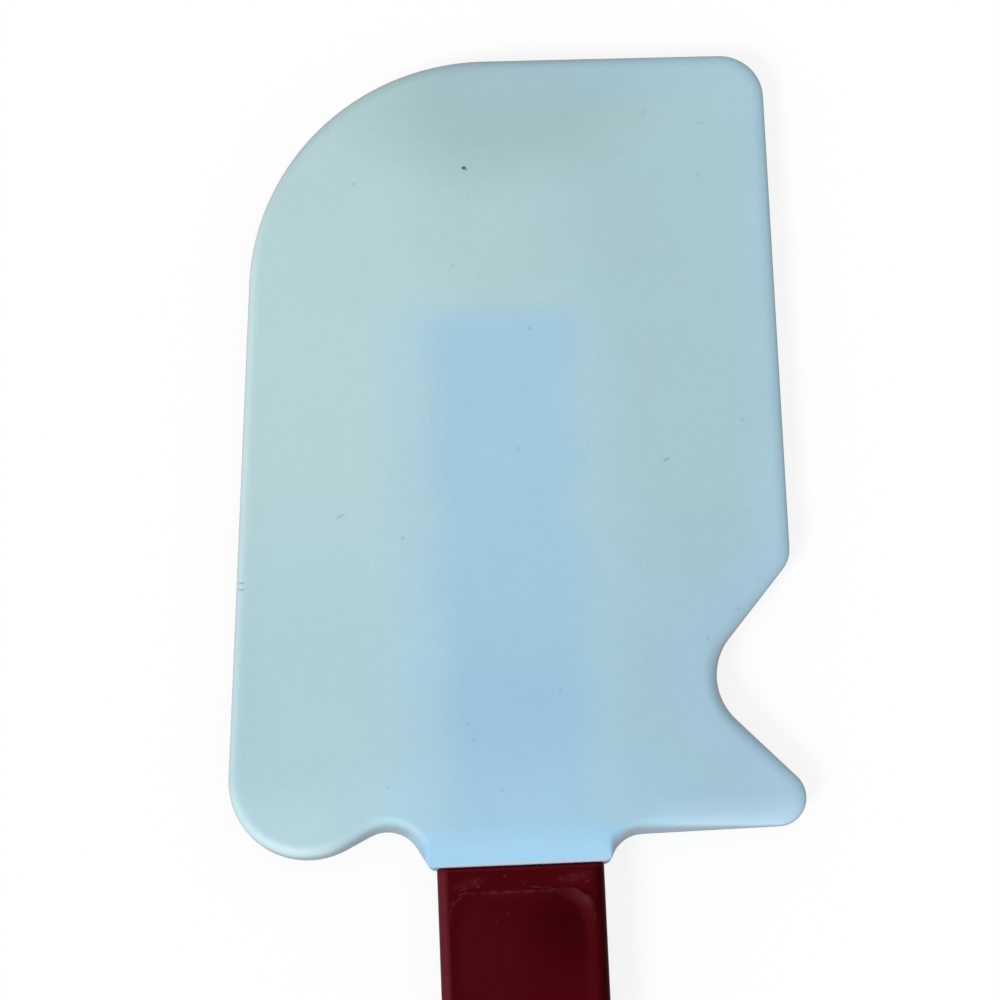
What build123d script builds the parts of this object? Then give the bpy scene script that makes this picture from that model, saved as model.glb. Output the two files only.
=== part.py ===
from build123d import *
from math import hypot, sqrt
import os

# A kitchen scraper: a silicone blade moulded round the flat tongue of a nylon handle. Millimetres and degrees.
# It lies flat. The origin is the centre of the hanging hole at half thickness, +Y runs up the handle to the
# blade's top edge, +X to the notched side of the blade and +Z out of the front face.
# Front and back are alike, so every thickness is centred on z = 0.

# How far a blank or a cut runs past the surface that it trims
overrun = 2.0

# How near two sizes or places are when they count as the same
match_tolerance = 0.02

# Handle
handle_length = 232.6
handle_thickness = 6.8
neck_width = 21.7
neck_straight = 60.0
grip_width = 26.0
grip_straight = 70.0
handle_edge_radius = 1.2
seam_edge_radius = 0.35
hang_hole_diameter = 9.0
hang_hole_edge_radius = 0.8

# Sunk panel on both faces of the handle
panel_depth = 0.5
panel_side_rim = 1.4
panel_seam_rim = 2.8
panel_hole_rim = 7.0
panel_corner_radius = 4.5
panel_floor_radius = 3.0

# Tongue of the handle, inside the blade
tongue_length = 75.2
tongue_spine_width = 13.0
tongue_head_width = 20.0
tongue_head_length = 9.5
tongue_head_pitch = 16.3
tongue_root_width = 16.0
tongue_root_length = 10.5
tongue_root_thickness = 4.0
tongue_tip_thickness = 2.8
tongue_corner_radius = 1.7
tongue_root_radius = 0.7

# Gap that parts the silicone from the nylon all over
bond_clearance = 0.05

# Blade outline: sharp corners before rounding, as distances from the axis and heights above the seam
lip_width = 23.4
bay_offset = 15.6
bay_height = 6.7
bay_radius = 4.6
lobe_offset = 39.1
lobe_drop = 5.3
lobe_radius = 10.5
top_left_offset = 31.6
top_left_height = 111.0
top_left_radius = 33.1
top_right_offset = 38.0
top_right_height = 109.7
top_right_radius = 6.0
heel_offset = 37.7
heel_height = 38.8
heel_radius = 3.9
notch_offset = 24.2
notch_height = 23.0
notch_radius = 7.6
spur_offset = 43.1
spur_height = 3.7
spur_radius = 3.9
flare_offset = 13.4
flare_radius = 4.6

# Blade thickness. Across, it is fullest over a middle band and falls evenly each side to a thin rim.
# Along, each share says how much of that swell is left, at even steps from below the seam to past the top edge.
blade_thickness = 8.0
blade_flat_width = 22.0
rim_thickness = 2.0
rim_offset = 34.0
rim_edge_radius = 0.8
crease_ease_share = 0.04
crown_section_spacing = 36.0
crown_swell_shares = [1, 1, 0.97, 0.85, 0]

# Bevel of the blade's neck, down to the lip that stands a little proud of the handle
lip_thickness = 7.2
bevel_height = 3.1
lip_corner_radius = 1.0

# Height of the seam above the hanging hole, whose centre is the centre of the grip's round end
seam_y = handle_length - grip_width / 2


def mirrored(points):
    """The points, then their mirror images in the Y axis in reverse order, as one closed outline."""
    return points + [(-x, y) for x, y in reversed(points)]


def prism(outline, thickness):
    """A flat outline in XY made as thick as asked, half above z = 0 and half below."""
    return extrude(outline, amount=thickness / 2, both=True)


def handle_face(inset):
    """The handle's outline with parallel sides at the neck and grip, drawn in all round by inset."""
    neck = neck_width / 2 - inset
    grip = grip_width / 2 - inset
    side = [(neck, seam_y), (neck, seam_y - neck_straight), (grip, grip_straight), (grip, 0)]
    return make_face(Polyline(mirrored(side), close=True)) + Circle(grip)


def panel_cut():
    """The space over the sunk panel of the front face, whose floor curves up to meet the face all round."""
    # The curve is wider than the panel is deep, so the cut's own walls stand this far outside the panel's edge
    lead = panel_floor_radius - sqrt(panel_depth * (panel_floor_radius * 2 - panel_depth))
    top = seam_y - panel_seam_rim + lead
    bottom = hang_hole_diameter / 2 + panel_hole_rim - lead
    length = top - bottom
    band = Pos(0, bottom + length / 2) * Rectangle(grip_width, length)
    outline = handle_face(panel_side_rim - lead) & band
    ends = outline.vertices().group_by(Axis.Y)
    outline = fillet(ends[0] + ends[-1], panel_corner_radius + lead)
    space = extrude(outline, amount=panel_floor_radius + overrun)
    space = fillet(space.faces().sort_by(Axis.Z)[0].edges(), panel_floor_radius)
    return Pos(0, 0, handle_thickness / 2 - panel_depth) * space


def tongue_outline(grow):
    """The scalloped outline of the tongue, from below the seam to its tip, as distances from the seam."""
    root = tongue_root_width / 2 + grow
    spine = tongue_spine_width / 2 + grow
    head = tongue_head_width / 2 + grow
    outer = tongue_corner_radius + grow
    inner = tongue_corner_radius - grow
    shoulder = tongue_root_length + grow
    points = [(root, -overrun), (root, shoulder), (spine, shoulder)]
    radii = [tongue_root_radius + grow, tongue_root_radius - grow]
    # As many heads stand below the one at the tip as leave room for their rounded corners above the root
    room = tongue_length - tongue_head_length - tongue_root_length - tongue_corner_radius - tongue_root_radius
    for number in reversed(range(1 + int(room / tongue_head_pitch))):
        top = tongue_length - number * tongue_head_pitch + grow
        bottom = top - tongue_head_length - grow * 2
        points += [(spine, bottom), (head, bottom), (head, top), (spine, top)]
        radii += [inner, outer, outer, inner]
    # The tip runs straight across from one corner of the last head to the other
    points = mirrored(points[:-1])
    radii = radii[:-1] + radii[-2::-1]
    sides = FilletPolyline(points, radius=radii)
    return make_face([*sides.edges(), Line(points[-1], points[0])])


def tongue(grow):
    """The tongue, tapering in thickness to its tip, swollen all round by grow for the blade's pocket."""
    taper = (tongue_root_thickness - tongue_tip_thickness) / 2 / tongue_length
    bottom = -overrun
    top = tongue_length + overrun
    half_bottom = tongue_root_thickness / 2 + grow - taper * bottom
    half_top = tongue_root_thickness / 2 + grow - taper * top
    side = [(bottom, half_bottom), (top, half_top), (top, -half_top), (bottom, -half_bottom)]
    wedge = prism(Plane.YZ * make_face(Polyline(side, close=True)), tongue_head_width + overrun)
    return Pos(0, seam_y) * (prism(tongue_outline(grow), tongue_root_thickness + overrun) & wedge)


def handle():
    """The nylon handle: a flat bar with rounded edges, a hanging hole, a panel each side and the tongue."""
    bar = prism(handle_face(0), handle_thickness)
    rims = bar.faces().filter_by(Axis.Z).edges()
    bar = fillet([edge for edge in rims if edge.center().Y < seam_y - overrun], handle_edge_radius)
    bar = fillet(bar.faces().sort_by(Axis.Y)[-1].edges(), seam_edge_radius)
    bar -= Cylinder(hang_hole_diameter / 2, handle_thickness + overrun)
    circles = bar.edges().filter_by(GeomType.CIRCLE)
    hole_rims = [edge for edge in circles if abs(edge.radius - hang_hole_diameter / 2) < match_tolerance]
    bar = fillet(hole_rims, hang_hole_edge_radius)
    cut = panel_cut()
    bar -= cut
    bar -= mirror(cut, Plane.XY)
    return bar + tongue(0)


def blade_outline():
    """The blade's outline from the left end of its lip, clockwise to the right end, closed by the seam."""
    corners = [
        (-lip_width / 2, 0),
        (-bay_offset, bay_height),
        (-lobe_offset, -lobe_drop),
        (-top_left_offset, top_left_height),
        (top_right_offset, top_right_height),
        (heel_offset, heel_height),
        (notch_offset, notch_height),
        (spur_offset, spur_height),
        (flare_offset, spur_height),
        (lip_width / 2, 0),
    ]
    radii = [
        bay_radius,
        lobe_radius,
        top_left_radius,
        top_right_radius,
        heel_radius,
        notch_radius,
        spur_radius,
        flare_radius,
    ]
    sides = FilletPolyline(corners, radius=radii)
    seam = Line(corners[-1], corners[0])
    return make_face([*sides.edges(), seam])


def cross_section(height, swell_share):
    """The blade's section across its width at a height above the seam, crowned by a share of its full swell."""
    half_rim = rim_thickness / 2
    half_flat = blade_flat_width / 2
    swell = (blade_thickness / 2 - half_rim) * swell_share
    ease = swell * crease_ease_share
    side = [
        (half_flat, half_rim + swell - ease),
        ((half_flat + rim_offset) / 2, half_rim + swell / 2),
        (rim_offset, half_rim + ease),
        (lobe_offset + overrun, half_rim),
    ]
    left = [(-x, z) for x, z in reversed(side)]
    front = Spline(*left, (0, half_rim + swell), *side, tangents=[(1, 0), (1, 0)])
    back = mirror(front, Plane.XZ)
    ends = [Line(front @ 0, back @ 0), Line(front @ 1, back @ 1)]
    level = Plane(origin=(0, height, 0), x_dir=(1, 0, 0), z_dir=(0, -1, 0))
    return level * make_face([*front.edges(), *back.edges(), *ends])


def bevel_cut():
    """The space over the front bevel, which thins the blade down to its lip at the seam."""
    half_lip = lip_thickness / 2
    slope = (blade_thickness / 2 - half_lip) / bevel_height
    top = blade_thickness / 2 + overrun
    low = (-overrun, half_lip - slope * overrun)
    high = (bevel_height + overrun, blade_thickness / 2 + slope * overrun)
    side = [low, high, (bevel_height + overrun, top), (-overrun, top)]
    return prism(Plane.YZ * make_face(Polyline(side, close=True)), (lobe_offset + overrun) * 2)


def blade():
    """The silicone blade: a crowned slab cut to its outline, with a rounded rim, a bevelled lip and a pocket."""
    plan = blade_outline()
    top = top_left_height + overrun
    last = len(crown_swell_shares) - 1
    sections = [
        cross_section(top - (last - number) * crown_section_spacing, share)
        for number, share in enumerate(crown_swell_shares)
    ]
    body = prism(plan, blade_thickness + overrun) & loft(sections)
    body = fillet(rim_edges(body, plan), rim_edge_radius)
    cut = bevel_cut()
    body -= cut
    body -= mirror(cut, Plane.XY)
    seam_face = body.faces().sort_by(Axis.Y)[0]
    body = fillet(seam_face.edges().filter_by(Axis.Z), lip_corner_radius)
    return Pos(0, seam_y + bond_clearance) * body - tongue(bond_clearance)


def rim_edges(body, plan):
    """The edges where the blade's faces meet its side walls, without those of the seam and the upright ones."""
    border = plan.face().outer_wire()
    picked = []
    for edge in body.edges():
        middle = edge @ 0.5
        upright = hypot((edge @ 1).X - (edge @ 0).X, (edge @ 1).Y - (edge @ 0).Y) < match_tolerance
        on_border = border.distance_to(Vertex(middle.X, middle.Y, 0)) < match_tolerance
        if on_border and not upright and abs(middle.Y) > match_tolerance:
            picked.append(edge)
    return picked


def main():
    os.makedirs("parts", exist_ok=True)
    export_step(handle(), "parts/handle.step")
    export_step(blade(), "parts/blade.step")


main()
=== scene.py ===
import math

import bmesh
import bpy
from mathutils import Matrix, Vector, geometry, kdtree


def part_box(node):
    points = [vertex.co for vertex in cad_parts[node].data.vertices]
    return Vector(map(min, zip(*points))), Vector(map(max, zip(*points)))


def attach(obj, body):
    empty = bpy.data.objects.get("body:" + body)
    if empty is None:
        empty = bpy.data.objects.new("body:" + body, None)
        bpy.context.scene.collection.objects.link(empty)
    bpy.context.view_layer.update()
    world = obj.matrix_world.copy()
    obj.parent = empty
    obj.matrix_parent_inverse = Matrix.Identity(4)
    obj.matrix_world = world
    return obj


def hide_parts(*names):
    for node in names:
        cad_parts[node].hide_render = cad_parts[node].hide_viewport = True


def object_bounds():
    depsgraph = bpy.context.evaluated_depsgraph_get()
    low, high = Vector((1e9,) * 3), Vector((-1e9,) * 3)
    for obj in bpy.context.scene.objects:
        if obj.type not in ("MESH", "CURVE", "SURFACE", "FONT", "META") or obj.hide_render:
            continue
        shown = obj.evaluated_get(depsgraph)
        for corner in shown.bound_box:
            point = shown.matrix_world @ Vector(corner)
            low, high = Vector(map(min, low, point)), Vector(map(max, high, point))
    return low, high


# A silicone scraper blade on a nylon handle, lying flat. Sizes are millimetres and heights run up from the
# seam between blade and handle, unless a note says otherwise.

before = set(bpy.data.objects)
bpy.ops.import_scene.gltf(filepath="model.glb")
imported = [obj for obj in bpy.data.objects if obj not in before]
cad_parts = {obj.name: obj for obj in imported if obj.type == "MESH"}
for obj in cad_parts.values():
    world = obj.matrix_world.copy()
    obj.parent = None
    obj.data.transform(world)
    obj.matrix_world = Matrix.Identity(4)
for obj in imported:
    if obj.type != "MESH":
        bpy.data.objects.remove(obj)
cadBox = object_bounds()
mm = 0.001
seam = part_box("blade")[0].y / mm  # along the handle from the hanging hole


# Shared helpers for outlines, meshes and node trees

fewestSteps = 3  # in the rounding of an outline's corner
widestTurn = 9  # degrees, of one such step


def ramp(value, low, high):
    share = min(max((value - low) / (high - low), 0), 1)
    return share * share * (3 - 2 * share)


def easedCorner(value, ease):
    # nothing below zero, the value itself above, a parabola in between
    if value <= -ease:
        return 0
    if value >= ease:
        return value
    return (value + ease) ** 2 / (4 * ease)


def roundedOutline(corners, step):
    # points round a clockwise loop of (x, height, rounding), each with its outward direction
    points = []
    count = len(corners)
    for number in range(count):
        before, here, after = (Vector(corners[(number + shift) % count][:2]) for shift in (-1, 0, 1))
        radius = corners[number][2]
        arriving = (here - before).normalized()
        leaving = (after - here).normalized()
        turn = arriving.angle_signed(leaving)  # above zero is clockwise, a convex corner
        side = 1 if turn > 0 else -1
        reach = radius * math.tan(abs(turn) / 2)
        start = here - arriving * reach
        outward = Vector((-arriving.y, arriving.x))
        centre = start - outward * radius * side
        enough = math.ceil(abs(turn) / math.radians(widestTurn))
        steps = max(fewestSteps, math.ceil(abs(turn) * radius / step), enough)
        for part in range(steps + 1):
            angle = -turn * part / steps
            facing = Matrix.Rotation(angle, 2) @ outward
            points.append((centre + facing * radius * side, facing))
        # the straight run up to where the next corner's rounding starts
        following = Vector(corners[(number + 2) % count][:2])
        nextTurn = abs(leaving.angle_signed((following - after).normalized()))
        nextStart = after - leaving * corners[(number + 1) % count][2] * math.tan(nextTurn / 2)
        end = here + leaving * reach
        length = (nextStart - end).length
        facing = Vector((-leaving.y, leaving.x))
        pieces = max(1, round(length / step))
        for part in range(1, pieces):
            points.append((end + leaving * length * part / pieces, facing))
    return points


def pointTree(points):
    # a tree that finds the nearest of some points in plan, and how far away it is
    tree = kdtree.KDTree(len(points))
    for number, point in enumerate(points):
        tree.insert((point.x, point.y, 0), number)
    tree.balance()
    return tree


def isInside(point, runs):
    # whether a line from the point to the right crosses a border's runs an odd number of times
    crossings = 0
    for start, end in runs:
        if (start.y > point.y) != (end.y > point.y):
            crossings += point.x < start.x + (point.y - start.y) / (end.y - start.y) * (end.x - start.x)
    return crossings % 2 == 1


def meshObject(name, vertices, faces, material):
    mesh = bpy.data.meshes.new(name)
    mesh.from_pydata(vertices, [], faces)
    mesh.update()
    made = bpy.data.objects.new(name, mesh)
    bpy.context.scene.collection.objects.link(made)
    if material:
        mesh.materials.append(material)
    return made


def tone(red, green, blue):
    # a display colour, 0 to 255, as Blender's linear colour, by the sRGB curve
    def linear(level):
        level = level / 255
        return level / 12.92 if level <= 0.04045 else ((level + 0.055) / 1.055) ** 2.4

    return (linear(red), linear(green), linear(blue), 1)


class Nodes:
    # short names for the nodes that the materials below are wired from
    noiseMiddle = (0.3, 0.7)  # most of a noise's own values lie between these
    spotDepth = 1000  # a spot goes right through the piece
    frontDepths = (-0.5, 0.5)  # from the middle, no mark shows below these and all of it above them

    def __init__(self, tree):
        self.tree = tree

    def add(self, kind, inputs=(), **settings):
        node = self.tree.nodes.new(kind)
        for name, value in settings.items():
            setattr(node, name, value)
        for socket, value in dict(inputs).items():
            self.plug(node.inputs[socket], value)
        return node

    def plug(self, socket, value):
        if isinstance(value, bpy.types.NodeSocket):
            self.tree.links.new(value, socket)
        else:
            socket.default_value = value

    def math(self, operation, first, second=0.0):
        return self.add("ShaderNodeMath", {0: first, 1: second}, operation=operation).outputs[0]

    def times(self, first, second):
        return self.math("MULTIPLY", first, second)

    def ramp(self, value, low, high, start=0.0, end=1.0, kind="SMOOTHSTEP"):
        # eases from start at low to end at high
        inputs = {"Value": value, "From Min": low, "From Max": high, "To Min": start, "To Max": end}
        return self.add("ShaderNodeMapRange", inputs, interpolation_type=kind).outputs[0]

    def noise(self, vector, scale, detail, low=0.0, high=1.0):
        # noise whose middle values run from low to high
        inputs = {"Vector": vector, "Scale": scale, "Detail": detail}
        value = self.add("ShaderNodeTexNoise", inputs).outputs["Fac"]
        return self.ramp(value, *self.noiseMiddle, low, high, "LINEAR")

    def mix(self, share, first, second, blend="MIX"):
        node = self.add("ShaderNodeMix", data_type="RGBA", blend_type=blend)
        self.plug(node.inputs[0], share)
        self.plug(node.inputs[6], first)
        self.plug(node.inputs[7], second)
        return node.outputs[2]

    def dim(self, colour, level):
        # the colour times the level
        shade = self.add("ShaderNodeCombineColor", {0: level, 1: level, 2: level}).outputs[0]
        return self.mix(1.0, colour, shade, "MULTIPLY")

    def place(self):
        # where a point lies, in millimetres from the middle of the seam
        coords = self.add("ShaderNodeTexCoord").outputs["Object"]
        inputs = {0: coords, 1: (1 / mm,) * 3, 2: (0, -seam, 0)}
        place = self.add("ShaderNodeVectorMath", inputs, operation="MULTIPLY_ADD").outputs[0]
        return place, self.add("ShaderNodeSeparateXYZ", {0: place}).outputs

    def spot(self, place, centre, width, length, turn, soft):
        # 1 inside an ellipse on the face, easing to 0 over its soft rim
        mapping = self.add("ShaderNodeMapping", {"Vector": place}, vector_type="TEXTURE")
        mapping.inputs["Location"].default_value = (centre[0], centre[1], 0)
        mapping.inputs["Rotation"].default_value = (0, 0, math.radians(turn))
        mapping.inputs["Scale"].default_value = (width / 2, length / 2, self.spotDepth)
        away = self.add("ShaderNodeVectorMath", {0: mapping.outputs[0]}, operation="LENGTH")
        return self.ramp(away.outputs["Value"], 1 - soft, 1 + soft, 1.0, 0.0)

    def marks(self, place, depth, rows, soft):
        # the strongest at each point of some small spots, on the front face alone
        strongest = 0.0
        for across, up, width, length, turn, strength in rows:
            mark = self.times(self.spot(place, (across, up), width, length, turn, soft), strength)
            strongest = self.math("MAXIMUM", mark, strongest)
        return self.times(strongest, self.ramp(depth, *self.frontDepths))


def newMaterial(name):
    material = bpy.data.materials.new(name)
    material.use_nodes = True
    nodes = Nodes(material.node_tree)
    return material, nodes, material.node_tree.nodes["Principled BSDF"]


def roughen(nodes, shader, place, finish):
    # a wandering roughness and a fine unevenness
    nodes.plug(shader.inputs["Roughness"], nodes.noise(place, *finish["roughness"]))
    uneven = nodes.noise(place, *finish["unevenness"])
    inputs = {"Strength": finish["bump"], "Distance": finish["bumpDepth"] * mm, "Height": uneven}
    nodes.plug(shader.inputs["Normal"], nodes.add("ShaderNodeBump", inputs).outputs[0])


# Blade

blade = {
    "corners": [  # x, height, rounding: from the left end of the lip, clockwise to its right end
        (-11.7, 0, 1.1),
        (-15.6, 6.55, 4.6),
        (-39.0, -5.2, 10.5),
        (-31.6, 111.15, 32.6),
        (37.95, 109.87, 6.0),
        (37.65, 39.02, 4.5),
        (24.2, 23.22, 8.0),
        (42.88, 3.87, 3.8),
        (13.3, 3.5, 4.3),
        (11.7, 0, 1.1),
    ],
    "thickness": 8.0,  # in the middle band, which is flatHalfWidth wide each side
    "flatHalfWidth": 11.0,
    "rimThickness": 2.0,
    "rimOffset": 34.0,  # where the thickness has come down to the rim's
    "creaseEase": 0.16,  # share of the slope's width over which it starts and ends
    "swellHeight": 113.0,  # where the swell would be all gone
    "slowFade": 0.2,  # share of the swell that goes with the square of the height
    "lateFade": 0.8,  # and the share that goes with its sixth power
    "lipThickness": 7.2,
    "bevelHeight": 3.1,
    "bevelEase": 0.06,
    "rimWidth": 1.9,  # the rounding of the rim, seen from the front
    "rimDepthShare": 0.95,  # its depth, as a share of half the thickness there
    "lipRadius": 0.3,  # the rounding of the lip's edge
    "lipHeights": (0.4, 2.8),  # one rounding grows into the other over these
    "lipReach": 20.0,  # from the axis: past it there is no lip
    "step": 0.7,  # between neighbouring mesh points round the outline
    "filletSteps": 10,
    "faceInset": 1.2,  # where the face's net starts, as a share of the rounding's width
    "gridStep": 1.3,  # between the points of the net
    "gridTop": 112.0,
    "gridReach": 32,  # steps each side of the axis
    "gridClearance": 0.4,  # from the net's own border
    "fineGridStep": 0.35,  # along the bevel
    "fineGridRows": 14,
    "netTolerance": 1e-5,
    "sliverShare": 0.001,  # a thinner triangle, area over longest side squared, is left out
    "joinAngle": 0.2,  # two triangles that make a flat, square enough face become one
    "joinShape": 0.7,
    "sharpAngle": 38.0,  # degrees, from which an edge isn't smoothed
    "rimSample": 0.3,  # spacing of the points from which the distance to the rim is measured
}

tongue = {
    "length": 75.2,
    "rootHalfWidth": 8.0,
    "rootLength": 10.5,
    "spineHalfWidth": 6.5,
    "headHalfWidth": 10.0,
    "headLength": 9.5,
    "pitch": 16.3,
    "heads": 4,
    "rounding": 1.7,
    "rootRounding": 0.7,
    "rootHalfThickness": 2.0,
    "tipHalfThickness": 1.4,
    "clearance": 0.05,
    "overrun": 2.0,  # how far its space runs on below the seam
    "endRounding": 0.01,
    "step": 4.0,
}


def halfThickness(x, height):
    rim = blade["rimThickness"] / 2
    share = max(height, 0) / blade["swellHeight"]
    left = 1 - blade["slowFade"] * share**2 - blade["lateFade"] * share**6
    swell = (blade["thickness"] / 2 - rim) * left
    across = (abs(x) - blade["flatHalfWidth"]) / (blade["rimOffset"] - blade["flatHalfWidth"])
    fall = easedCorner(across, blade["creaseEase"]) - easedCorner(across - 1, blade["creaseEase"])
    crown = rim + swell * (1 - fall)
    lip = blade["lipThickness"] / 2
    bevel = lip + (blade["thickness"] / 2 - lip) * height / blade["bevelHeight"]
    return crown - easedCorner(crown - bevel, blade["bevelEase"])


def rimRounding(point):
    # width and depth of the rim's rounding, which shrinks towards the lip's thin edge
    share = ramp(point.y, *blade["lipHeights"]) if abs(point.x) < blade["lipReach"] else 1
    small = blade["lipRadius"]
    depth = halfThickness(point.x, point.y) * blade["rimDepthShare"]
    return small + (blade["rimWidth"] - small) * share, small + (depth - small) * share


def rimRows():
    # from the front face round the rim to the back: how far in from the edge, as a share of the rounding's
    # width, how far below the face, as a share of its depth, and the level, from 1 at the front to -1 behind
    steps = blade["filletSteps"]
    rows = [(blade["faceInset"], 0.0, 1)]
    for number in range(steps + 1):
        angle = math.pi / 2 * number / steps
        rows.append((1 - math.sin(angle), 1 - math.cos(angle), 1))
    wall = [(0.0, 1.0, 0.5), (0.0, 1.0, 0.0), (0.0, 1.0, -0.5)]
    return rows + wall + [(inset, drop, -1) for inset, drop, side in reversed(rows)]


def faceNet(border):
    # the points and triangles that fill a face, finer along the bevel, and the border's points among them
    tree = pointTree(border)
    runs = list(zip(border, border[1:] + border[:1]))
    levels = [blade["fineGridStep"] * number for number in range(1, blade["fineGridRows"] + 1)]
    while levels[-1] < blade["gridTop"]:
        levels.append(levels[-1] + blade["gridStep"])
    reach = blade["gridReach"]
    across = [number * blade["gridStep"] for number in range(-reach, reach + 1)]
    grid = [Vector((x, height)) for height in levels for x in across]
    clear = [point for point in grid if tree.find((point.x, point.y, 0))[2] > blade["gridClearance"]]
    inside = [point for point in clear if isInside(point, runs)]
    edges = [(number, (number + 1) % len(border)) for number in range(len(border))]
    trianglesInside = 1  # Blender's number for the kind of net
    net = geometry.delaunay_2d_cdt(border + inside, edges, [], trianglesInside, blade["netTolerance"], True)
    places, cells, origins = net[0], net[2], net[3]
    # the net also fills the bays of the outline, and slivers along its straight runs
    triangles = []
    for cell in cells:
        first, second, third = (places[number] for number in cell)
        longest = max((first - second).length, (second - third).length, (third - first).length)
        thin = geometry.area_tri(first, second, third) < blade["sliverShare"] * longest**2
        if not thin and isInside((first + second + third) / 3, runs):
            triangles.append(cell)
    return places, triangles, origins


def bladeMesh():
    outline = roundedOutline(blade["corners"], blade["step"])
    count = len(outline)
    rows = rimRows()
    vertices = []
    for inset, drop, side in rows:
        for point, facing in outline:
            width, depth = rimRounding(point)
            spot = point - facing * width * inset
            rise = (halfThickness(spot.x, spot.y) - depth * drop) * side
            vertices.append((spot.x, spot.y, rise))
    faces = []
    for row in range(len(rows) - 1):
        top = row * count
        bottom = top + count
        for number in range(count):
            after = (number + 1) % count
            faces.append((top + number, top + after, bottom + after, bottom + number))
    # both faces are filled with the same net
    places, triangles, origins = faceNet([Vector(vertices[number][:2]) for number in range(count)])
    for side, first in ((1, 0), (-1, (len(rows) - 1) * count)):
        names = []
        for place, origin in zip(places, origins):
            if origin and origin[0] < count:
                names.append(first + origin[0])
            else:
                names.append(len(vertices))
                vertices.append((place.x, place.y, side * halfThickness(place.x, place.y)))
        for triangle in triangles:
            corner = [names[number] for number in triangle]
            faces.append(corner if side > 0 else corner[::-1])
    return [(x * mm, (y + seam) * mm, z * mm) for x, y, z in vertices], faces


def tongueSpace():
    # the tongue, swollen by the clearance, as a closed mesh that cuts the blade's pocket
    grow = tongue["clearance"]
    spine = tongue["spineHalfWidth"] + grow
    head = tongue["headHalfWidth"] + grow
    root = tongue["rootHalfWidth"] + grow
    outer = tongue["rounding"] + grow
    inner = tongue["rounding"] - grow
    right = [(head, tongue["length"] + grow, outer)]
    for number in range(tongue["heads"]):
        top = tongue["length"] - number * tongue["pitch"]
        bottom = top - tongue["headLength"] - grow
        if number:
            right += [(spine, top + grow, inner), (head, top + grow, outer)]
        right += [(head, bottom, outer), (spine, bottom, inner)]
    shoulder = tongue["rootLength"] + grow
    right += [(spine, shoulder, tongue["rootRounding"]), (root, shoulder, tongue["rootRounding"])]
    right += [(root, -tongue["overrun"], tongue["endRounding"])]
    left = [(-x, height, radius) for x, height, radius in reversed(right)]
    outline = [point for point, facing in roundedOutline(right + left, tongue["step"])]
    slope = (tongue["rootHalfThickness"] - tongue["tipHalfThickness"]) / tongue["length"]
    vertices = []
    for side in (1, -1):
        for point in outline:
            half = tongue["rootHalfThickness"] + grow - slope * point.y
            vertices.append((point.x * mm, (point.y + seam) * mm, side * half * mm))
    count = len(outline)
    faces = [list(range(count))[::-1], list(range(count, 2 * count))]
    for number in range(count):
        after = (number + 1) % count
        faces.append((number, after, count + after, count + number))
    return vertices, faces


def makeBlade(material):
    piece = meshObject("silicone_blade", *bladeMesh(), material)
    cutter = meshObject("tongue_space", *tongueSpace(), None)
    for made in (piece, cutter):
        work = bmesh.new()
        work.from_mesh(made.data)
        if made is piece:
            loose = [face for face in work.faces if len(face.verts) == 3]
            bmesh.ops.join_triangles(work, faces=loose, angle_face_threshold=blade["joinAngle"],
                                     angle_shape_threshold=blade["joinShape"])
        bmesh.ops.recalc_face_normals(work, faces=work.faces)
        work.to_mesh(made.data)
        work.free()
    cut = piece.modifiers.new("pocket", "BOOLEAN")
    cut.operation = "DIFFERENCE"
    cut.solver = "EXACT"
    cut.object = cutter
    bpy.context.view_layer.objects.active = piece
    bpy.ops.object.modifier_apply(modifier=cut.name)
    bpy.data.objects.remove(cutter)
    piece.data.shade_smooth()
    piece.data.set_sharp_from_angle(angle=math.radians(blade["sharpAngle"]))
    # how far each point lies from the outline, which the finish reads
    tree = pointTree([point for point, facing in roundedOutline(blade["corners"], blade["rimSample"])])
    rim = piece.data.attributes.new("fromRim", "FLOAT", "POINT")
    for number, vertex in enumerate(piece.data.vertices):
        rim.data[number].value = tree.find((vertex.co.x / mm, vertex.co.y / mm - seam, 0))[2]
    return piece


# Silicone finish

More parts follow.
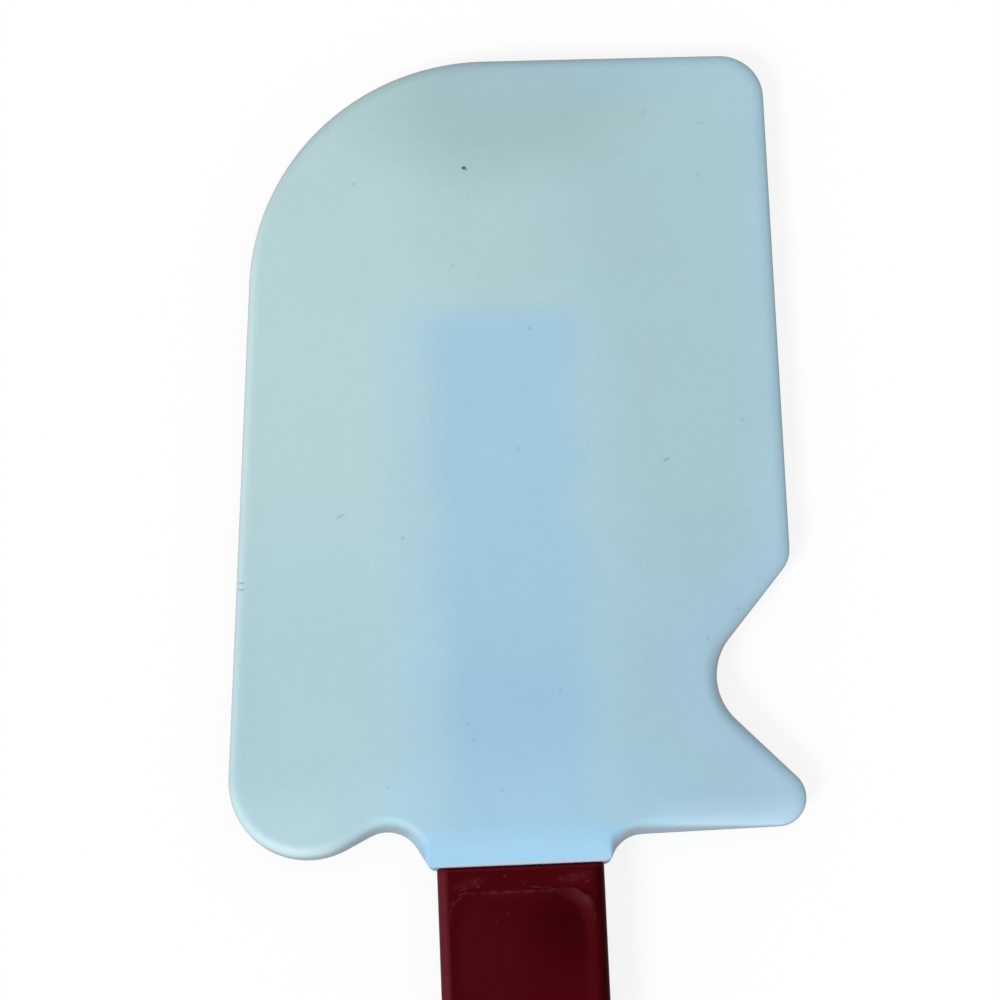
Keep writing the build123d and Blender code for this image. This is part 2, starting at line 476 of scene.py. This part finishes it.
# Here and in the nylon, a pair is the stretch over which something comes in, from none to all of it.
# A noise is its scale, its detail and the values that it runs between. A spot is its centre, width, length,
# turn in degrees and softness.
silicone = {
    # painted light: the left tones are lighter and the right ones darker, as the lamp lights the face from
    # the left
    "left": tone(179, 208, 212),  # the face where it falls to the left
    "right": tone(171, 203, 208),
    "lowLeft": tone(171, 204, 212),  # the same two nearer the handle
    "lowRight": tone(165, 201, 216),
    "leftToRight": (-14, 18),
    "highToLow": (62, 24),
    "wander": (0.05, 2, -2.0, 2.0),  # moves the change from left to right about
    "topShadeTint": tone(164, 193, 198),  # painted shade: a darker patch near the top edge, where the face slopes away from the lamp
    "topShadeSpot": ((2, 105), 34, 22, 0, 0.6),
    "topShadeShare": 0.9,
    "rimTint": tone(165, 200, 221),  # near the top and right rims
    "rimDistances": (9, 0),
    "rimSideways": (-14, 16),
    "rimShare": 0.6,
    "lobe": {  # painted light, lighter towards the lobe's lower rim, which faces the lamp
        "tint": tone(204, 234, 240),
        "heights": (15, 6),
        "sideways": (-18, -29),
        "share": 0.2,
    },
    "spur": {  # and painted light towards the spur's
        "tint": tone(188, 222, 242),
        "heights": (8.6, 4.2),
        "sideways": (13.5, 20),
        "share": 0.68,
    },
    "tongueMiddle": 0.5,  # the tongue's shadow lies this far right of the axis
    "halo": {  # the shadow's wide faint edge
        "tint": tone(173, 206, 217),
        "lowTint": tone(167, 203, 218),
        "tintHeights": (55, 26),
        "heights": (79, 70),
        "sideways": (20, 12),
        "share": 1,
    },
    "core": {  # painted shadow of the tongue, over it, where the silicone is thin
        "tint": tone(160, 201, 223),
        "lowTint": tone(154, 197, 222),
        "tintHeights": (48, 16),
        "heights": (76.5, 70.5),
        "sideways": (12.6, 6.0),
        "share": 1,
    },
    "scallopHeight": 70.4,  # the middle of the top head
    "scallopDepth": 0.5,
    "neck": {
        "tint": tone(168, 212, 234),
        "heights": (18, 4),
        "sideways": (26, 16),
        "share": 0.4,
    },
    # painted light: the bevel faces the lamp and is made lighter
    "bevel": {
        "tint": tone(162, 208, 237),
        "heights": (5.7, 3.5),
        "sideways": (15, 12),
        "share": 1,
    },
    "seamReflection": {  # painted reflection of the maroon handle along the lip's edge
        "tint": tone(205, 188, 204),
        "heights": (0.5, 0.2),
        "sideways": (11.4, 10.6),
        "share": 0.7,
    },
    "highlightRim": tone(226, 242, 248),  # painted highlight on the rims at the left, under the lobe and under the spur
    "highlightDirection": (-0.78, -0.62, 0),
    "highlightSlopes": (0.13, 0.42),
    "highlightSideways": (17, 24),
    "highlightShare": 0.3,
    "nearWallShade": tone(154, 157, 164),  # painted shade on the side wall where it faces the handle
    "farWallShade": tone(194, 187, 192),  # and where it faces away
    "wallSlopes": (-0.2, 0.3),
    "wallSteepness": (0.8, 0.48),
    "wallShadeShare": 0.62,
    "leftWallShadeShare": 0.15,
    "wallSides": (-0.8, -0.4),  # from one share to the other
    "cloud": (0.09, 4, 0.985, 1.015),
    "grain": (1.7, 3, 0.982, 1.018),
    "speckTone": tone(70, 78, 92),
    "speckSoftness": 0.45,
    "roughness": (0.4, 3, 0.45, 0.51),
    "unevenness": (1.6, 3),
    "bump": 0.25,
    "bumpDepth": 0.02,
    "specular": 0.5,
    "wallSpecular": 0.15,
    "specularSteepness": (0.7, 0.4),
    "ior": 1.41,
}

# moulding specks and nicks: x, height, width, length, turn in degrees, strength
specks = [
    (28.9, 100.0, 1.2, 0.5, 10, 0.1),
    (21.1, 101.6, 1.2, 0.8, 60, 0.07),
    (2.0, 54.9, 0.6, 0.6, 0, 0.12),
    (-3.7, 94.5, 0.62, 0.5, 0, 0.9),
    (-3.35, 94.25, 0.3, 0.35, 0, 0.6),
    (-18.8, 93.0, 0.5, 0.5, 0, 0.17),
    (-5.7, 80.7, 0.4, 0.4, 0, 0.19),
    (4.3, 71.4, 0.45, 0.45, 0, 0.19),
    (28.2, 92.6, 0.5, 0.4, 0, 0.22),
    (-13.7, 43.5, 0.5, 0.5, 0, 0.17),
    (-9.3, 59.7, 0.4, 0.4, 0, 0.17),
    (21.7, 52.8, 1.0, 0.4, 30, 0.28),
    (32.3, 58.2, 0.45, 0.45, 0, 0.14),
    (32.1, 45.9, 0.4, 0.4, 0, 0.14),
    (33.0, 36.7, 0.4, 0.4, 0, 0.14),
    (30.2, 32.5, 0.5, 0.5, 0, 0.17),
    (26.0, 28.7, 0.5, 0.5, 0, 0.19),
    (6.2, 22.4, 0.4, 0.4, 0, 0.17),
    (-6.1, 18.5, 0.4, 0.4, 0, 0.17),
    (-5.4, 16.3, 0.4, 0.4, 0, 0.14),
    (-2.0, 9.6, 0.45, 0.45, 0, 0.17),
    (-16.7, 10.7, 0.45, 0.45, 0, 0.14),
    (-21.9, 47.0, 1.3, 0.3, 22, 0.25),
    (-35.5, 37.9, 0.9, 0.3, 0, 0.33),
    (-35.5, 38.8, 0.9, 0.3, 0, 0.33),
]


def layTint(nodes, colour, layer, height, sideways):
    # the layer's tint over the colour, up to its share, where it has come in by height and sideways
    tint = layer["tint"]
    if "lowTint" in layer:
        tint = nodes.mix(nodes.ramp(height, *layer["tintHeights"]), tint, layer["lowTint"])
    rise = nodes.ramp(height, *layer["heights"], 0, layer["share"])
    return nodes.mix(nodes.times(rise, nodes.ramp(sideways, *layer["sideways"])), colour, tint)


def siliconeFinish():
    material, nodes, shader = newMaterial("silicone satin")
    place, (x, height, depth) = nodes.place()
    # painted light: lighter to the left, where the lamp shines from, and darker to the right
    wander = nodes.noise(place, *silicone["wander"])
    toRight = nodes.ramp(nodes.math("ADD", x, wander), *silicone["leftToRight"])
    upper = nodes.mix(toRight, silicone["left"], silicone["right"])
    lower = nodes.mix(toRight, silicone["lowLeft"], silicone["lowRight"])
    colour = nodes.mix(nodes.ramp(height, *silicone["highToLow"]), upper, lower)
    # painted shade near the top edge
    topShade = nodes.times(nodes.spot(place, *silicone["topShadeSpot"]), silicone["topShadeShare"])
    colour = nodes.mix(topShade, colour, silicone["topShadeTint"])
    fromRim = nodes.add("ShaderNodeAttribute", attribute_name="fromRim").outputs["Fac"]
    nearRim = nodes.ramp(fromRim, *silicone["rimDistances"], 0, silicone["rimShare"])
    nearRim = nodes.times(nearRim, nodes.ramp(x, *silicone["rimSideways"]))
    colour = nodes.mix(nearRim, colour, silicone["rimTint"])
    # painted light near the lower rims of the lobe and the spur
    for name in ("lobe", "spur"):
        colour = layTint(nodes, colour, silicone[name], height, x)
    # the tongue's painted shadow in the silicone: a wide faint halo, then the scalloped core
    fromTongue = nodes.math("ABSOLUTE", nodes.math("SUBTRACT", x, silicone["tongueMiddle"]))
    colour = layTint(nodes, colour, silicone["halo"], height, fromTongue)
    fromHead = nodes.math("SUBTRACT", height, silicone["scallopHeight"])
    turn = nodes.times(fromHead, 2 * math.pi / tongue["pitch"])
    scallop = nodes.times(nodes.math("COSINE", turn), silicone["scallopDepth"])
    colour = layTint(nodes, colour, silicone["core"], height, nodes.math("SUBTRACT", fromTongue, scallop))
    # painted light on the bevel, and a painted reflection of the handle on the lip's edge
    for name in ("neck", "bevel", "seamReflection"):
        colour = layTint(nodes, colour, silicone[name], height, fromTongue)
    # painted highlight on the rims that face down and to the left, towards the lamp
    facing = nodes.add("ShaderNodeTexCoord").outputs["Normal"]
    inputs = {0: facing, 1: silicone["highlightDirection"]}
    slope = nodes.add("ShaderNodeVectorMath", inputs, operation="DOT_PRODUCT").outputs["Value"]
    highlight = nodes.ramp(slope, *silicone["highlightSlopes"])
    highlight = nodes.times(highlight, nodes.ramp(fromTongue, *silicone["highlightSideways"]))
    colour = nodes.mix(nodes.times(highlight, silicone["highlightShare"]), colour, silicone["highlightRim"])
    # painted shade: the side wall is darker and greyer than the faces, and least so at the left
    facingParts = nodes.add("ShaderNodeSeparateXYZ", {0: facing}).outputs
    steep = nodes.math("ABSOLUTE", facingParts["Z"])
    towardsNear = nodes.ramp(slope, *silicone["wallSlopes"])
    wallShadeTint = nodes.mix(towardsNear, silicone["farWallShade"], silicone["nearWallShade"])
    shares = (silicone["leftWallShadeShare"], silicone["wallShadeShare"])
    share = nodes.ramp(facingParts["X"], *silicone["wallSides"], *shares)
    wall = nodes.times(nodes.ramp(steep, *silicone["wallSteepness"]), share)
    colour = nodes.mix(wall, colour, wallShadeTint)
    # cloudy mottling and a fine grain
    level = nodes.times(nodes.noise(place, *silicone["cloud"]), nodes.noise(place, *silicone["grain"]))
    colour = nodes.dim(colour, level)
    marks = nodes.marks(place, depth, specks, silicone["speckSoftness"])
    colour = nodes.mix(marks, colour, silicone["speckTone"])
    nodes.plug(shader.inputs["Base Color"], colour)
    shine = (silicone["specular"], silicone["wallSpecular"])
    specular = nodes.ramp(steep, *silicone["specularSteepness"], *shine)
    nodes.plug(shader.inputs["Specular IOR Level"], specular)
    shader.inputs["IOR"].default_value = silicone["ior"]
    roughen(nodes, shader, place, silicone)
    return material


# Handle finish

nylon = {
    "tone": tone(69, 0, 6),
    "hazeSheen": tone(86, 22, 38),
    "cloud": (0.12, 4, 0.0, 0.07),  # how much of the hazy sheen shows all over, part painted reflection and part scuffing
    "hazeSheenSpot": ((-5.5, -12.5), 10, 13, 0, 0.8),  # and more of it here
    "hazeSheenShare": 0.15,
    "darkReflectionTone": tone(58, 0, 3),  # painted dark reflection, a darker patch near the blade end of the panel
    "darkReflectionArc": ((1.6, -10.4), 13.6, 15.2, 0, 0.06),  # its upper right edge
    "darkReflectionFade": ((6.0, -7.6), 9.5, 11, 0, 0.95),  # and how it fades out to the lower left
    "gripShare": 1.2,  # how much wider the grip is than the neck
    "gripHeights": (-60, -150),
    "panelHalfWidth": 9.7,
    "panelTop": -3.0,
    "panelCorner": 3.4,
    "panelHeights": (-9, -5),  # the panel's step shows up to its end over these
    "stepShadeTone": tone(50, 0, 10),  # painted shade along the panel's step
    "stepShadeWidths": (0.28, 0.05),
    "stepShadeBreaks": (0.9, 3, 0.1, 0.75),
    "glintOffset": 0.42,  # a painted glint, a light line inside the step
    "glintWidths": (0.26, 0.05),
    "glintBreaks": (1.3, 3, -0.08, 0.16),
    "litRimTone": tone(102, 34, 44),  # painted light along the left rim, which faces the lamp
    "litRimSides": (-9.2, -10.1),
    "rimShare": 0.75,
    "shadedRimTone": tone(49, 0, 1),  # painted shade along the right one, which faces away
    "shadedRimSides": (8.8, 10.3),
    "shadedRimShare": 0.95,
    "endHighlightTone": tone(84, 14, 24),  # painted highlight, a thin light line beside the blade
    "endDrop": 0.45,  # how far below the seam it runs
    "endWidths": (0.22, 0.05),
    "endShare": 0.6,
    # the colour of the scuffs, and of the painted glint inside the panel's step
    "scuffAndGlintTone": tone(140, 76, 88),
    "scuffSoftness": 0.6,
    "scuffFray": (2.2, 3, 0.15, 0.75),
    "grain": (2.5, 3, 0.93, 1.07),
    "roughness": (0.5, 4, 0.35, 0.46),
    "unevenness": (1.2, 4),
    "bump": 0.3,
    "bumpDepth": 0.02,
    "specular": 0.04,
}

# scuffs and dust near the blade: x, height, width, length, turn in degrees, strength
scuffs = [
    (-6.7, -2.2, 3.6, 1.1, 14, 0.14),
    (7.1, -1.8, 3.8, 1.2, 10, 0.14),
    (-6.0, -1.8, 1.6, 0.16, 30, 0.3),
    (-7.4, -2.8, 1.4, 0.16, 24, 0.26),
    (-7.6, -3.4, 1.2, 0.22, 18, 0.34),
    (-9.0, -4.5, 0.9, 0.25, 55, 0.26),
    (-5.6, -2.6, 0.3, 0.3, 0, 0.5),
    (-2.1, -1.4, 0.26, 0.26, 0, 0.5),
    (0.4, -2.3, 0.5, 0.2, 70, 0.3),
    (2.0, -2.9, 1.6, 0.18, -8, 0.24),
    (4.0, -3.2, 1.0, 0.2, -20, 0.3),
    (5.1, -2.0, 0.7, 0.2, 35, 0.4),
    (6.9, -1.6, 1.3, 0.18, 8, 0.42),
    (6.6, -2.2, 0.24, 0.24, 0, 0.5),
    (8.6, -2.4, 1.1, 0.16, 20, 0.26),
    (-3.3, -7.1, 0.22, 0.22, 0, 0.3),
    (-1.8, -6.2, 0.22, 0.22, 0, 0.3),
]


def panelStep(nodes, across, height):
    # how far a point lies outside the panel's rounded end
    corner = nylon["panelCorner"]
    sideways = nodes.math("SUBTRACT", nodes.math("ABSOLUTE", across), nylon["panelHalfWidth"] - corner)
    upwards = nodes.math("SUBTRACT", height, nylon["panelTop"] - corner)
    sideways = nodes.math("POWER", nodes.math("MAXIMUM", sideways, 0.0), 2.0)
    upwards = nodes.math("POWER", nodes.math("MAXIMUM", upwards, 0.0), 2.0)
    return nodes.math("SUBTRACT", nodes.math("SQRT", nodes.math("ADD", sideways, upwards)), corner)


def nylonFinish():
    material, nodes, shader = newMaterial("maroon nylon")
    place, (x, height, depth) = nodes.place()
    # across the handle as a share of its width, which grows towards the grip, in millimetres at the neck
    widening = nodes.ramp(height, *nylon["gripHeights"], 1, nylon["gripShare"], "LINEAR")
    across = nodes.math("DIVIDE", x, widening)
    # a hazy sheen, part painted reflection and part scuffing
    hazeSheen = nodes.times(nodes.spot(place, *nylon["hazeSheenSpot"]), nylon["hazeSheenShare"])
    hazeSheen = nodes.math("ADD", nodes.noise(place, *nylon["cloud"]), hazeSheen)
    colour = nodes.mix(hazeSheen, nylon["tone"], nylon["hazeSheen"])
    # painted dark reflection in the panel
    darkReflection = nodes.times(nodes.spot(place, *nylon["darkReflectionArc"]), nodes.spot(place, *nylon["darkReflectionFade"]))
    colour = nodes.mix(darkReflection, colour, nylon["darkReflectionTone"])
    # painted shade and a painted glint at the step round the panel: a broken dark line with a light one
    # inside it
    away = panelStep(nodes, across, height)
    nearEnd = nodes.ramp(height, *nylon["panelHeights"])
    stepShade = nodes.ramp(nodes.math("ABSOLUTE", away), *nylon["stepShadeWidths"])
    stepShade = nodes.times(nodes.times(stepShade, nodes.noise(place, *nylon["stepShadeBreaks"])), nearEnd)
    colour = nodes.mix(stepShade, colour, nylon["stepShadeTone"])
    fromGlint = nodes.math("ABSOLUTE", nodes.math("ADD", away, nylon["glintOffset"]))
    glint = nodes.ramp(fromGlint, *nylon["glintWidths"])
    glint = nodes.times(nodes.times(glint, nodes.noise(place, *nylon["glintBreaks"])), nearEnd)
    colour = nodes.mix(glint, colour, nylon["scuffAndGlintTone"])
    # the rims, painted light and shade: a light one at the left, a dark one at the right; and a painted
    # highlight on a thin edge next to the blade
    litLeftRim = nodes.ramp(across, *nylon["litRimSides"], 0, nylon["rimShare"])
    colour = nodes.mix(litLeftRim, colour, nylon["litRimTone"])
    shadedRightRim = nodes.ramp(across, *nylon["shadedRimSides"], 0, nylon["shadedRimShare"])
    colour = nodes.mix(shadedRightRim, colour, nylon["shadedRimTone"])
    # painted highlight on the handle's end edge next to the blade
    fromEnd = nodes.math("ABSOLUTE", nodes.math("ADD", height, nylon["endDrop"]))
    endHighlight = nodes.ramp(fromEnd, *nylon["endWidths"], 0, nylon["endShare"])
    colour = nodes.mix(endHighlight, colour, nylon["endHighlightTone"])
    marks = nodes.marks(place, depth, scuffs, nylon["scuffSoftness"])
    marks = nodes.times(marks, nodes.noise(place, *nylon["scuffFray"]))
    colour = nodes.mix(marks, colour, nylon["scuffAndGlintTone"])
    colour = nodes.dim(colour, nodes.noise(place, *nylon["grain"]))
    nodes.plug(shader.inputs["Base Color"], colour)
    shader.inputs["Specular IOR Level"].default_value = nylon["specular"]
    roughen(nodes, shader, place, nylon)
    return material


bladePiece = makeBlade(siliconeFinish())
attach(bladePiece, "root")
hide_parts("blade")
print("blade:", len(bladePiece.data.polygons), "faces")

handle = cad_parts["handle"]
handleFinish = nylonFinish()
for number in range(len(handle.data.materials)):
    handle.data.materials[number] = handleFinish
print("handle: finish set")


# Floor, light and camera

studio = {
    "floorSize": 6.0,  # metres
    "floorGap": 0.02,  # how far the floor lies below the object
    "floorWhite": 0.97,
    "floorShadow": 0.15,  # how much of the floor's white the light makes, which a shadow takes away
    "floorBounce": 0.2,  # how light the floor is to the object above it
    "sunDirection": (-0.5, -0.5, 0.71),  # towards the lamp
    "sunStrength": 1.86,
    "sunSpread": 20,  # degrees
    "fill": 0.62,  # light from straight above, besides the lamp
    "fillHorizon": 0.5,
    "fillRise": (0.0, 0.8),  # from the horizon's to the one above, as sines of the height
    "ceiling": 0.06,  # what glossy surfaces see overhead
    "horizon": 0.45,  # and level with them
    "ceilingRise": (0.15, 0.75),
}

camera = {
    "aim": (-0.66, 48.77, 0.0),
    "tilt": 11.0,  # from straight above towards the handle, in degrees
    "roll": 2.4,
    "distance": 356.1,
    "lens": 95.65,
    "sensor": 36.0,
    "nearest": 0.01,  # metres, of what it still sees
}


def grey(level):
    return (level, level, level, 1)


def makeFloor():
    low = cadBox[0][2] - studio["floorGap"] * mm
    half = studio["floorSize"] / 2
    corners = [(-half, -half, low), (half, -half, low), (half, half, low), (-half, half, low)]
    material, nodes, unused = newMaterial("studio floor")
    nodes.tree.nodes.remove(unused)
    path = nodes.add("ShaderNodeLightPath").outputs
    seen = nodes.math("MAXIMUM", path["Is Camera Ray"], path["Is Glossy Ray"])
    seen = nodes.math("MAXIMUM", seen, path["Is Transmission Ray"])
    white = nodes.add("ShaderNodeEmission", {"Color": grey(1), "Strength": 1.0}).outputs[0]
    lit = nodes.add("ShaderNodeBsdfDiffuse", {"Color": grey(studio["floorWhite"])}).outputs[0]
    shown = nodes.add("ShaderNodeMixShader", {0: studio["floorShadow"], 1: white, 2: lit}).outputs[0]
    bounce = nodes.add("ShaderNodeBsdfDiffuse", {"Color": grey(studio["floorBounce"])}).outputs[0]
    both = nodes.add("ShaderNodeMixShader", {0: seen, 1: bounce, 2: shown}).outputs[0]
    nodes.plug(nodes.tree.nodes["Material Output"].inputs["Surface"], both)
    floor = meshObject("studio_floor", corners, [(0, 1, 2, 3)], material)


def makeWorld():
    world = bpy.data.worlds.new("studio")
    world.use_nodes = True
    bpy.context.scene.world = world
    nodes = Nodes(world.node_tree)
    background = world.node_tree.nodes["Background"]
    path = nodes.add("ShaderNodeLightPath").outputs
    # glossy surfaces see a pale horizon and a dim ceiling
    direction = nodes.add("ShaderNodeTexCoord").outputs["Generated"]
    up = nodes.add("ShaderNodeSeparateXYZ", {0: direction}).outputs[2]
    glossy = nodes.ramp(up, *studio["ceilingRise"], studio["horizon"], studio["ceiling"])
    fill = nodes.ramp(up, *studio["fillRise"], studio["fillHorizon"], studio["fill"])
    seen = nodes.math("MAXIMUM", path["Is Camera Ray"], path["Is Transmission Ray"])
    level = nodes.add("ShaderNodeMix", {0: path["Is Glossy Ray"], 2: fill, 3: glossy}).outputs[0]
    level = nodes.add("ShaderNodeMix", {0: seen, 2: level, 3: 1.0}).outputs[0]
    background.inputs["Color"].default_value = grey(1)
    nodes.plug(background.inputs["Strength"], level)


def makeSun():
    sun = bpy.data.lights.new("key", "SUN")
    sun.energy = studio["sunStrength"]
    sun.angle = math.radians(studio["sunSpread"])
    lamp = bpy.data.objects.new("key", sun)
    bpy.context.scene.collection.objects.link(lamp)
    lamp.rotation_euler = Vector(studio["sunDirection"]).to_track_quat("Z", "Y").to_euler()


def makeCamera():
    data = bpy.data.cameras.new("photo view")
    data.lens = camera["lens"]
    data.sensor_width = camera["sensor"]
    data.sensor_fit = "HORIZONTAL"
    data.clip_start = camera["nearest"]
    view = bpy.data.objects.new("photo view", data)
    bpy.context.scene.collection.objects.link(view)
    tilt = math.radians(camera["tilt"])
    roll = math.radians(camera["roll"])
    back = Vector((0, -math.sin(tilt), math.cos(tilt)))
    level = Vector((1, 0, 0))
    upward = Vector((0, math.cos(tilt), math.sin(tilt)))
    right = level * math.cos(roll) - upward * math.sin(roll)
    up = level * math.sin(roll) + upward * math.cos(roll)
    aim = Vector(camera["aim"]) + Vector((0, seam, 0))
    turned = Matrix((right, up, back)).transposed().to_4x4()
    view.matrix_world = Matrix.Translation((aim + back * camera["distance"]) * mm) @ turned
    bpy.context.scene.camera = view


makeFloor()
makeWorld()
makeSun()
makeCamera()
bpy.context.scene.view_settings.view_transform = "Standard"
print("studio: floor, lamp and camera set")
